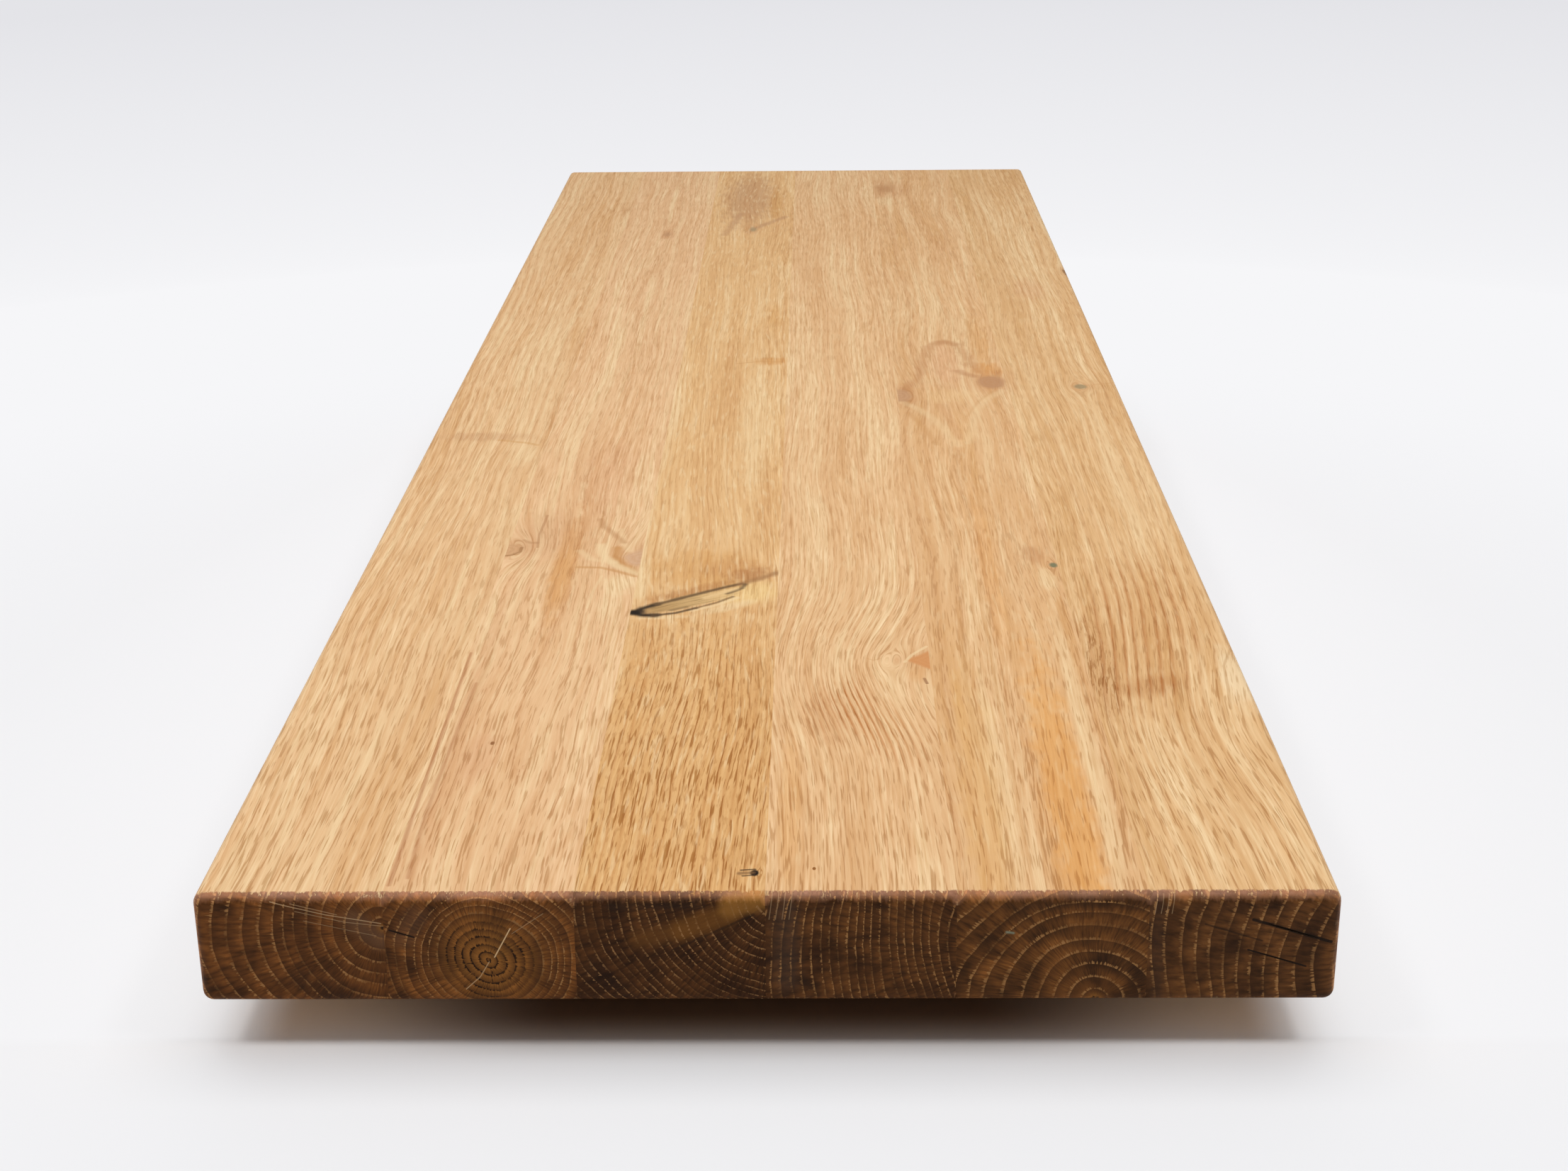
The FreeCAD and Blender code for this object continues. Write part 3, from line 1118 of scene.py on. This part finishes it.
        # Painted light: beside the board the even pale tone stands in for light from the sides.
        far = g.add("Math:MAXIMUM", far, self.painted_side_light(g, outside))
        seen = g.add("LightPath")
        share = g.add("Math:MULTIPLY", far, seen)
        g.add("OutputMaterial", g.add("MixShader", share, matt, even))
        floor.data.materials.append(material)
        floor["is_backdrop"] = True

    def painted_shadow_share(
        self,
        g: Graph,
        outside: bpy.types.NodeOutputs,
        across: tuple[float, float],
        along: tuple[float, float],
    ) -> Socket:
        """How much painted shadow a place of the floor gets under and round the board.

        Args:
            g: the floor's graph.
            outside: how far outside the board's sides and ends the place is.
            across: where outside the long sides the painted shadow begins to fade, and where it
                ends.
            along: the same outside the ends.

        Returns:
            One well under the board, zero clear of it.
        """
        beside = g.add("MapRange", outside["X"], *across, 1.0, 0.0, **SMOOTH)
        ahead = g.add("MapRange", outside["Y"], *along, 1.0, 0.0, **SMOOTH)
        return g.add("Math:MULTIPLY", beside, ahead)

    def painted_side_light(self, g: Graph, outside: bpy.types.NodeOutputs) -> Socket:
        """How much painted light from the sides lies on the floor along the board and just under
        it.

        Args:
            g: the floor's graph.
            outside: how far outside the board's sides and ends the place is.

        Returns:
            The share of painted light there, as a share of the even pale tone.
        """
        share = g.add("MapRange", outside["X"], *self.painted_spill_start, 0.0, self.painted_spill_share, **SMOOTH)
        fade = g.add("MapRange", outside["X"], *self.painted_spill_stop, 1.0, 0.0)
        ahead = g.add("MapRange", outside["Y"], *self.painted_spill_ahead, 1.0, self.painted_spill_left)
        share = g.add("Math:MULTIPLY", share, fade)
        return g.add("Math:MULTIPLY", share, ahead)

    def plinth(self) -> None:
        """The low block that carries the board, set back out of the camera's sight. Its dark colour
        deepens the shade under the board: painted shade.
        """
        low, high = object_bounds()
        inset = Vector((*self.plinth_inset, 0))
        low.z, high.z = -self.drop, 0.0
        plinth = placed("plinth", block(low + inset, high - inset))
        material, g = fresh("dark_plinth_painted_shade")
        g.add("OutputMaterial", g.add("BsdfPrincipled", linear(self.plinth_shade_colour), 0.0, 0.8))
        plinth.data.materials.append(material)
        plinth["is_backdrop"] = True

    def world(self) -> None:
        """An even surround, pale where the camera sees it."""
        world = bpy.data.worlds.new("studio")
        bpy.context.scene.world = world
        world.use_nodes = True
        g = Graph(world.node_tree)
        seen = g.add("LightPath")
        strength = g.add("MapRange", seen, 0.0, 1.0, self.world_strength, 1.0)
        g.add("OutputWorld", g.add("Background", linear(self.far_colour), strength))

    def camera(self) -> None:
        """The camera, at the photograph's viewing angle."""
        pitch, yaw, roll = (math.radians(a) for a in (self.pitch, self.yaw, self.roll))
        forward = Vector(
            (math.sin(yaw) * math.cos(pitch), math.cos(yaw) * math.cos(pitch), -math.sin(pitch))
        )
        right = Vector((math.cos(yaw), -math.sin(yaw), 0))
        up = right.cross(forward)
        right_rolled = math.cos(roll) * right + math.sin(roll) * up
        up_rolled = -math.sin(roll) * right + math.cos(roll) * up
        data = bpy.data.cameras.new("camera")
        data.lens = self.lens
        data.sensor_width = self.sensor
        data.sensor_fit = "HORIZONTAL"
        camera = bpy.data.objects.new("camera", data)
        turn = Matrix((right_rolled, up_rolled, -forward)).transposed()
        camera.matrix_world = Matrix.Translation(self.camera_at) @ turn.to_4x4()
        bpy.context.scene.collection.objects.link(camera)
        bpy.context.scene.camera = camera


CREAM = "#f0d3a3"
TAN = "#c8935a"
BROWN = "#b98555"
RAY = "#cba77c"

HONEY = Tone(glow_reach=2.0, arris_and_highlight_share=0.7)
ROSY = Tone(pale="#e6bb8c", warm="#daa875", end_mid="#8a5426", glow="#a56d30", glow_reach=19.0,
            glow_share=0.6, arris_and_highlight_share=0.75)
GOLDEN = Tone(pale="#e3b780", fleck_share=0.3, pore_share=0.4, end_dark="#321b0b",
              end_mid="#603a1a", end_row="#a87c4e", arris_and_highlight_share=0.5)
STRAW = Tone(pale="#e4b988", warm="#d6a46f", end_dark="#3a210f", end_mid="#704520")
WHEAT = Tone(pale="#e0b581", warm="#d1a067", end_dark="#3a2210", end_mid="#764a24")
AMBER = Tone(pale="#e0b381", warm="#d4a168", end_dark="#3e2511", end_mid="#845226",
             glow_reach=4.0, arris_and_highlight_share=0.7)


# The six staves, from -X to +X
STAVES = (
    Stave(
        "stave_1", Log(-98.1, 22.8, 3.6, lean=0.3), HONEY, 3.1,
        patches=(
            Patch(-107, 380, 5, 18, CREAM, 0.45),
            Patch(-127, 404, 20, 7, "#c69467", 0.45),
        ),
        veins=(Vein(((-120, 399), (-108, 395), (-103.5, 392)), 3.0, "#c99350", 0.35, soft=0.7),),
        end_veins=(
            Vein(((-122, 6), (-108, 1)), 12, "#2c1c12", 0.45, under=True),
            Vein(((-108, 25), (-101, 19)), 9, "#7d5f47", 0.3, under=True),
            Vein(((-129.3, 30.3), (-115, 26.6), (-100.6, 24.0)), 0.34, RAY, 0.6, soft=0.7),
            Vein(((-124, 29.8), (-112, 26.6)), 0.3, RAY, 0.4, soft=0.7),
            Vein(((-122.9, 27.6), (-110, 24.4), (-97, 22.8)), 0.28, RAY, 0.4, soft=0.7),
            Vein(((-120.9, 24.8), (-102.1, 20.3)), 0.26, RAY, 0.3, soft=0.7),
        ),
    ),
    Stave(
        "stave_2", Log(-71.8, 13.9, 2.2, lean=0.2), ROSY, 7.9,
        knots=(
            Knot(Grade.SOUND, -101, 263.5, 7.5, 7.5, heart="#d2a376", rim="#a87a4b",
                 rim_share=0.4, share=0.8, soft=0.4),
            Knot(Grade.SOUND, -50, 254.5, 7.5, 9.5, heart="#d3aa86", rim="#c08a58", pull=0.3,
                 rim_share=0.5, share=0.85, soft=0.5, ragged=0.6),
            Knot(Grade.PIN, -83.3, 94.7, 0.8, 1.5, heart="#9a683f", rim="#9a683f",
                 half_height=3, pull=0.5, halo=0.0, soft=0.6),
            Knot(Grade.PIN, -73.5, 803, 3, 8, heart="#bb8c62", rim="#b08458", soft=0.8,
                 share=0.7, pull=0),
        ),
        bends=(Bend(-48, 254, 14, 30, -7), Bend(-100, 264, 10, 22, 4)),
        patches=(
            Patch(-94, 90, 3.5, 150, "#cf9868", 0.35, lines=0.2),
            Patch(-86, 85, 6, 22, "#d29a70", 0.35),
            Patch(-77, 250, 5, 60, "#d79a55", 0.5),
            Patch(-85, 280, 16, 30, "#cf9c70", 0.35),
            Patch(-56, 228, 6, 12, CREAM, 0.65),
            Patch(-58, 208, 4, 16, CREAM, 0.4),
            Patch(-70, 350, 12, 60, "#d8a377", 0.35),
        ),
        veins=(
            Vein(((-101, 256.7), (-97.5, 258), (-95, 261.5), (-95, 266)), 1.7, "#a37447", 0.7,
                 soft=0.7),
            Vein(((-95, 274), (-92.5, 271), (-90, 271)), 3.0, "#b58458", 0.5),
            Vein(((-88.3, 266), (-89, 280), (-88, 302)), 1.2, "#b07c50", 0.55, drift=True,
                 soft=0.7),
            Vein(((-59.5, 265), (-59.5, 256), (-56.5, 248), (-51, 239)), 6.0, "#c48b4e", 0.7),
            Vein(((-66, 268), (-64, 257), (-59, 247.5), (-51, 238.5)), 6.0, CREAM, 0.65,
                 ragged=0.9),
            Vein(((-72, 245), (-64, 244.5), (-57, 240), (-51, 235.5)), 3.2, TAN, 0.65),
            Vein(((-60, 250), (-68, 253), (-73, 262)), 5.0, CREAM, 0.35),
            Vein(((-55, 262), (-58, 272), (-60, 285)), 5.0, CREAM, 0.35),
            Vein(((-57.5, 271), (-62, 280), (-66.5, 289), (-68.5, 297)), 4.4, BROWN, 0.5),
            Vein(((-63, 236), (-65, 222), (-66, 205)), 1.6, CREAM, 0.4, drift=True, soft=0.7),
            Vein(((-99.0, 6), (-99.3, 60), (-99.5, 110), (-99.7, 165)), 2.0, "#ad6f44", 0.55),
            Vein(((-94.6, 10), (-95.8, 42), (-95.6, 80), (-94.4, 140)), 2.0, "#b3764a", 0.5),
        ),
        end_veins=(
            Vein(((-71.3, 13.9), (-66.8, 22.4)), 0.42, "#e0bd8c", 0.9, ragged=0.0, soft=0.7),
            Vein(((-72.8, 12.5), (-75.4, 8.0), (-79.3, 4.3)), 0.35, RAY, 0.65, soft=0.7),
            Vein(((-66.4, 20.9), (-58.0, 26.8)), 0.3, RAY, 0.35, soft=0.7),
            Vein(((-95, 20), (-91, 26)), 9, "#5d4433", 0.35, under=True),
        ),
        checks=(Check((-98.6, 22.0), (-92.2, 19.9), 0.3, 3.0),),
    ),
    Stave(
        "stave_3", Log(7.8, 37.6, 2.3, lean=0.5), GOLDEN, 12.3,
        knots=(
            Knot(Grade.SLANTED, -29.5, 211.5, 22, 5.6, turn=33, heart="#b9935f",
                 butt="#e6c086", rim="#8b6c42", pull=0, halo=0.0, rim_share=0.0, soft=0.35,
                 ragged=0.25),
            Knot(Grade.PIN, -3.0, 12.4, 1.4, 2.1, heart="#17120d", rim="#0f0c09",
                 half_height=5, pull=0.5, halo=0.0, soft=0.5),
            Knot(Grade.PIN, -23.5, 815, 3.2, 9, heart="#9d8a68", rim="#a08a68", soft=0.9,
                 share=0.75, pull=0),
        ),
        bends=(Bend(-25, 150, 60, 110, 6), Bend(-28, 290, 30, 90, 3)),
        patches=(
            Patch(-25, 70, 38, 150, "#d7a15f", 0.5, lines=0.2, pores=0.35, specks=0.3),
            Patch(-11, 219, 14, 12, "#ecc88a", 0.85, turn=40, ragged=0.3),
            Patch(-17, 205, 12, 3.5, CREAM, 0.6, turn=33),
            Patch(-39, 196, 10, 2.2, CREAM, 0.5, turn=5),
            Patch(-48, 232, 3, 26, CREAM, 0.6),
            Patch(-27, 240, 22, 24, "#d39b58", 0.55, turn=15),
            Patch(-27, 221, 22, 5.5, "#ba814c", 0.55, turn=31, ragged=0.8),
            Patch(-10, 237, 10, 6.5, "#ac7344", 0.6, turn=31, ragged=0.8),
            Patch(-17, 243, 12, 10, "#c58c58", 0.35, turn=30),
            Patch(-12, 420, 9, 100, CREAM, 0.35),
            Patch(-8, 522, 8, 8, "#cf9048", 0.55),
            Patch(-7, 605, 3.5, 30, "#d39a55", 0.5),
            Patch(-28, 905, 18, 90, "#b98860", 0.55),
            Patch(-11, 890, 4, 50, "#d09a58", 0.5),
        ),
        veins=(
            Vein(((-29, 202), (-21, 207), (-14, 214)), 3.2, CREAM, 0.6),
            Vein(((-49.2, 200.3), (-46.5, 201)), 6.5, "#4a3829", 0.9, ragged=1.2),
            Vein(((-49, 200), (-46, 204.3), (-41.5, 208)), 5.0, "#33281d", 0.95),
            Vein(((-41.5, 208), (-34, 213.3), (-26, 219), (-18, 224.5), (-13, 227.5)), 3.6,
                 "#6b5236", 0.9),
            Vein(((-13, 227.5), (-7, 232), (-1, 238)), 5.5, "#9c6e45", 0.65),
            Vein(((-49, 200.5), (-46, 198), (-41, 197.8)), 5.5, "#241c15", 0.95),
            Vein(((-42, 197.7), (-34.5, 199.8), (-28, 204.3)), 3.0, "#5d4730", 0.9),
            Vein(((-28, 204.3), (-21, 209.3), (-15.5, 215)), 2.2, "#7d6040", 0.75),
            Vein(((-11.5, 227), (-12.6, 223), (-17.5, 218)), 3.0, "#6d5539", 0.8),
            Vein(((-36, 202.5), (-31, 205.5)), 3.2, "#7d6341", 0.55),
            Vein(((-25, 214), (-15, 222.5)), 4.0, "#ecc891", 0.6),
            Vein(((-24, 518), (-12, 522), (-3, 521)), 2.0, TAN, 0.4),
            Vein(((-27, 530), (-29, 480), (-30, 410)), 2.6, TAN, 0.35, drift=True),
            Vein(((-40, 800), (-32, 860)), 7, "#b98860", 0.45),
            Vein(((-21, 820), (-5, 850)), 7, "#b98a63", 0.5),
            Vein(((-7, 12.2), (-3.5, 12.6)), 2.4, "#7d5a38", 0.7, ragged=1.5),
            Vein(((-6.5, 14), (-3, 14.5)), 1.1, "#4a3826", 0.8, ragged=1.0, soft=0.7),
            Vein(((-6, 10.8), (-3, 11.2)), 1.0, "#4a3826", 0.75, ragged=1.0, soft=0.7),
        ),
        end_veins=(
            Vein(((-33, 19), (-22, 21.5)), 8.0, "#74491e", 0.5, under=True),
            Vein(((-22, 21.8), (-9, 26.8)), 8.5, "#7d4f1e", 0.6, soft=0.8, under=True),
            Vein(((-9, 28.6), (3, 32)), 8.5, "#9a682c", 0.7, soft=0.8, under=True),
            Vein(((-24.5, 15.9), (-14.5, 20.7), (-3, 26.4)), 0.9, "#23160c", 0.5, soft=0.7),
            Vein(((-40, 29), (-17, 29.5)), 4.0, "#2d1f16", 0.5, soft=0.9, under=True),
            Vein(((-46, 10), (-34, 2)), 9, "#2a1b10", 0.3, under=True),
        ),
    ),
    Stave(
        "stave_4", Log(74.2, 16.6, 2.2, squeeze=0.9, lean=0.3), STRAW, 17.7,
        knots=(
            Knot(Grade.SOUND, 50.5, 157.5, 8.5, 8.5, heart="#d3955f", rim="#cb8a52",
                 halo=0.1, pull=0.4, rim_share=0.2, pointed=True, ragged=0.15),
            Knot(Grade.PIN, 12.8, 14.8, 0.5, 0.9, heart="#94602f", rim="#94602f",
                 half_height=2, pull=0, halo=0.0),
        ),
        bends=(Bend(45, 148, 46, 50, -13),),
        patches=(
            Patch(31, 112, 11, 42, CREAM, 0.0, lines=0.6, turn=18),
            Patch(18, 116, 10, 22, "#cf9a68", 0.3, lines=0.35, specks=0.2),
            Patch(6, 50, 3.5, 60, "#dfa868", 0.4),
            Patch(46, 147, 4, 7, "#d79c5c", 0.4),
        ),
        veins=(
            Vein(((42, 156), (44.5, 162), (49.5, 169)), 1.6, CREAM, 0.6, soft=0.7),
            Vein(((47.7, 142.5), (48.4, 138.5)), 1.3, "#946440", 0.7, soft=0.7),
            Vein(((30, 159), (32, 157.5), (34, 159)), 1.2, TAN, 0.35),
        ),
        end_veins=(
            Vein(((5.5, 27), (5.5, 7)), 11, "#3a322c", 0.45, under=True),
            Vein(((9, 7), (13, 5)), 4, "#20140c", 0.5, under=True),
            *(
                Vein(((x, 32.5), (x - 1.0, 25)), 0.3, RAY, 0.3, soft=0.7)
                for x in (2.0, 3.7, 5.4, 7.2)
            ),
        ),
    ),
    Stave(
        "stave_5", Log(86.0, 1.1, 4.2, squeeze=1.18), AMBER, 23.9,
        knots=(
            Knot(Grade.SOUND, 50.5, 463, 6.5, 11, heart="#c79a73", rim="#a97a52",
                 soft=0.4, pull=0.4, share=0.8),
            Knot(Grade.SOUND, 93.3, 484, 7.5, 12, heart="#bd8d66", rim="#b98350", soft=0.45,
                 pull=0.3, share=0.85),
            Knot(Grade.PIN, 98.4, 245.0, 1.8, 3.2, heart="#83805f", rim="#63604a",
                 halo=0.1, soft=0.6),
            Knot(Grade.SOUND, 57.5, 934, 9, 20, heart="#bd8a5c", rim="#b98147", soft=0.9,
                 share=0.75, pull=0),
        ),
        bends=(Bend(44, 465, 16, 40, 5), Bend(104, 486, 18, 45, -5)),
        patches=(
            Patch(84, 60, 8, 120, "#dc9640", 0.58),
            Patch(94, 100, 3, 110, CREAM, 0.4),
            Patch(75, 250, 4, 90, "#dba061", 0.4),
            Patch(92, 256, 5, 11, "#bf8656", 0.5),
            Patch(95, 230, 3.5, 12, CREAM, 0.5),
            Patch(66, 60, 4, 80, CREAM, 0.4),
            Patch(60, 70, 7, 110, "#dca860", 0.35),
            Patch(93, 505, 8, 14, "#d5934c", 0.55),
            Patch(92, 560, 5, 60, "#d79c58", 0.35),
            Patch(74, 515, 9, 42, "#dba67c", 0.4),
            Patch(72, 462, 14, 12, "#e8c08b", 0.4),
            Patch(74, 408, 6, 28, "#ecc08a", 0.4),
            Patch(57, 895, 5, 18, CREAM, 0.4),
        ),
        veins=(
            Vein(((54, 475), (59, 488), (62.5, 508), (65, 530), (67.5, 545), (71, 554),
                  (75.5, 557), (80, 552), (83, 540), (85.5, 522), (89, 502)), 8.5,
                 "#c0895a", 0.45, ragged=1.4),
            Vein(((72, 552), (76, 555.5), (80.5, 550)), 9.5, "#b57c4c", 0.35),
            Vein(((79, 503), (82, 498), (86, 494)), 8.0, "#b98155", 0.5),
            Vein(((52, 480), (55.5, 510), (55, 545), (58, 590)), 3.0, TAN, 0.3),
            Vein(((88, 600), (91, 565), (92.5, 535)), 2.6, TAN, 0.35),
            Vein(((52, 452), (59, 441), (65, 425), (69, 405), (73, 388)), 6.5, CREAM, 0.3),
            Vein(((54, 436), (60, 412), (64, 390)), 5.0, TAN, 0.4),
            Vein(((68, 448), (72, 425), (74, 398)), 6.0, "#cf9a68", 0.4),
            Vein(((97, 470), (90, 458), (84, 442), (81, 420), (77, 392)), 6.5, CREAM, 0.3),
            Vein(((92, 468), (85, 452), (79, 430)), 2.5, TAN, 0.25),
            Vein(((62, 210), (60.5, 30)), 1.8, TAN, 0.4, drift=True, soft=0.7),
            Vein(((55, 165), (53, 40)), 1.6, TAN, 0.35, drift=True, soft=0.7),
            Vein(((69.5, 230), (70.5, 0)), 1.6, TAN, 0.35, drift=True, soft=0.7),
        ),
        end_veins=(
            Vein(((63.1, 21.1), (64.8, 20.8)), 1.2, "#87927b", 0.8, ragged=1.5),
            Vein(((66, 28.5), (80, 30), (97, 29.5)), 5.5, "#2c1c11", 0.4, under=True),
            Vein(((88, 14), (98, 8)), 9, "#23160d", 0.45, under=True),
        ),
    ),
    Stave(
        "stave_6", Log(186.0, 9.0, 3.9, lean=-0.2), WHEAT, 29.3,
        knots=(
            Knot(Grade.PIN, 133, 476, 3.4, 4.5, heart="#9b8a66", rim="#8a7652", soft=0.5,
                 share=0.8),
            Knot(Grade.SOUND, 151, 703, 4, 9, heart="#a87c52", rim="#7f5b38", below=6.0),
        ),
        bends=(Bend(122, 100, 40, 62, -9),),
        patches=(
            Patch(121, 185, 20, 75, "#cf9a60", 0.35, lines=0.5, turn=-8, ragged=0.3),
            Patch(119, 136, 14, 8, "#bd8550", 0.4, lines=0.35, turn=33, ragged=0.3),
            Patch(104, 150, 5.5, 44, "#bd8a58", 0.3, pores=0.4, specks=0.5),
            Patch(146, 143, 5, 26, "#f0d5aa", 0.75),
            Patch(126, 661, 9, 26, "#d39d70", 0.35),
            Patch(102, 487, 4, 24, "#cf9a68", 0.4),
        ),
        veins=(
            Vein(((140.5, 118), (142.5, 136), (144, 152), (149, 168)), 1.2, "#b98a58", 0.4,
                 soft=0.7),
            Vein(((136, 478), (149, 482)), 3, "#cf9c68", 0.4),
        ),
        end_veins=(
            Vein(((102, 30), (103, 2)), 6, "#3c2b20", 0.4, under=True),
            *(
                Vein(((x, 31.5), (x - 0.6, 26.5)), 0.3, RAY, 0.35, soft=0.7)
                for x in (102, 103.6, 105, 106.4)
            ),
            Vein(((114.7, 23.3), (129.6, 18.4)), 0.7, "#1b110a", 0.6, soft=0.7),
        ),
        checks=(
            Check((127.1, 24.6), (147.7, 18.0), 0.5, 7.0),
            Check((126.2, 15.7), (141.5, 10.8), 0.3, 4.0),
        ),
    ),
)


def main() -> None:
    logging.basicConfig(level=logging.INFO, format="%(name)s: %(message)s")
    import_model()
    Board(STAVES).build()
    Studio().build()


if __name__ == "__main__":
    main()
